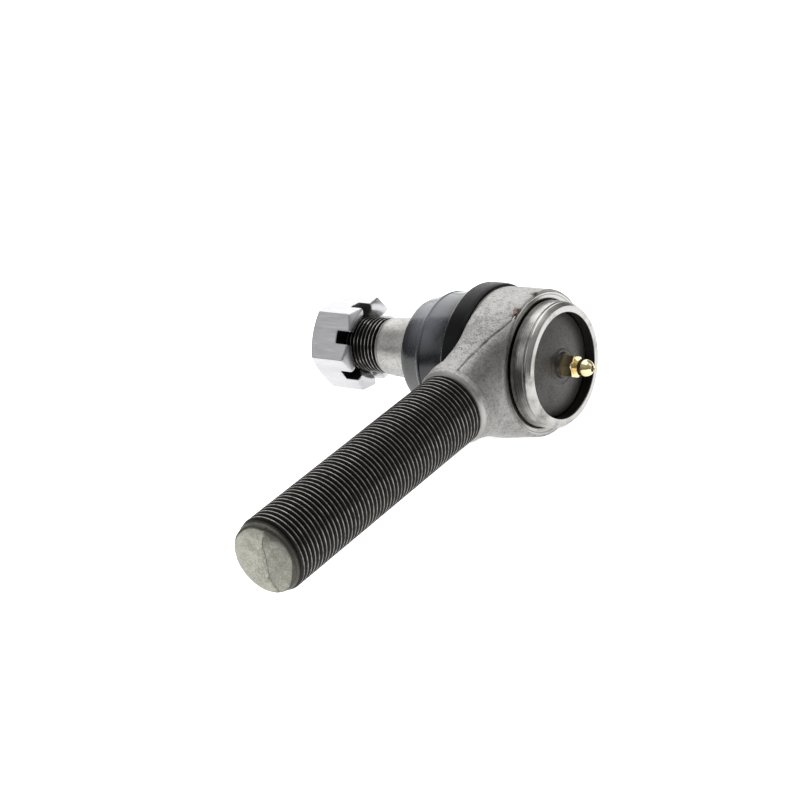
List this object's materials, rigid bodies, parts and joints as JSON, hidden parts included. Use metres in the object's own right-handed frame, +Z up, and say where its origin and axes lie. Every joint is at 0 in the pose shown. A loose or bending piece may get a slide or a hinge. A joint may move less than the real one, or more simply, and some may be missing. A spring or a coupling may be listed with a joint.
{
  "type": "tie rod end",
  "caption": "Heavy truck tie rod end: threaded forged shank, half-ball joint with tapered stud, dust boot, castle nut and grease fitting.",
  "frame": {"origin": "centre of the ball joint", "axes": "+X along the stud's axis towards the cover and grease fitting, the stud points to -X; -Y along the shank to its free end; +Z up, as it lies in the picture"},
  "size_m": [0.1247, 0.1849, 0.0588],
  "materials": {
    "forged_steel": "raw shot-blasted forging with machined nose and thread",
    "bearing_steel": "ground",
    "stud_steel": "ground taper, cut thread",
    "bearing_polymer": "natural acetal",
    "spring_steel": "hardened, oiled",
    "dark_plate": "black phosphated steel",
    "gasket_rubber": "moulded",
    "brass": "bright turned brass",
    "boot_rubber": "smooth black moulded rubber",
    "ring_steel": "rolled",
    "plated_nut": "bright zinc plated, brushed flats"
  },
  "bodies": {
    "housing": {"socket_housing": "forged_steel", "cover_plate": "dark_plate", "cover_gasket": "gasket_rubber", "pressure_spring": "spring_steel", "grease_fitting": "brass", "fitting_spring": "spring_steel", "dust_boot": "boot_rubber", "boot_base_ring": "ring_steel"},
    "upper_bearing": {"upper_bearing": "bearing_steel"},
    "half_ball": {"half_ball": "bearing_steel", "boot_neck_ring": "ring_steel"},
    "stud": {"ball_stud": "stud_steel"},
    "nut": {"castle_nut": "plated_nut"},
    "lower_bearing": {"lower_bearing": "bearing_polymer"},
    "check_ball": {"fitting_ball": "bearing_steel"}
  },
  "joints": [
    {"name": "swing_direction", "type": "hinge", "parent": "housing", "child": "upper_bearing", "pos_m": [0, 0, 0], "axis": [-1, 0, 0], "continuous": true},
    {"name": "stud_tilt", "type": "hinge", "parent": "upper_bearing", "child": "half_ball", "pos_m": [0, 0, 0], "axis": [0, 1, 0], "range_deg": [-20, 20], "deforming": ["dust_boot"]},
    {"name": "stud_spin", "type": "hinge", "parent": "half_ball", "child": "stud", "pos_m": [0, 0, 0], "axis": [-1, 0, 0], "continuous": true},
    {"name": "nut_turn", "type": "hinge", "parent": "stud", "child": "nut", "pos_m": [-0.0777, 0, 0], "axis": [-1, 0, 0], "continuous": true},
    {"name": "wear_take_up", "type": "slide", "parent": "housing", "child": "lower_bearing", "axis": [1, 0, 0], "range_m": [0, 0.0006], "stiffness_N_per_m": 20000, "springref_m": -0.0015, "deforming": ["pressure_spring"]},
    {"name": "check_ball_lift", "type": "slide", "parent": "housing", "child": "check_ball", "axis": [-1, 0, 0], "range_m": [0, 0.0008], "stiffness_N_per_m": 100, "springref_m": -0.001, "deforming": ["fitting_spring"]}
  ]
}
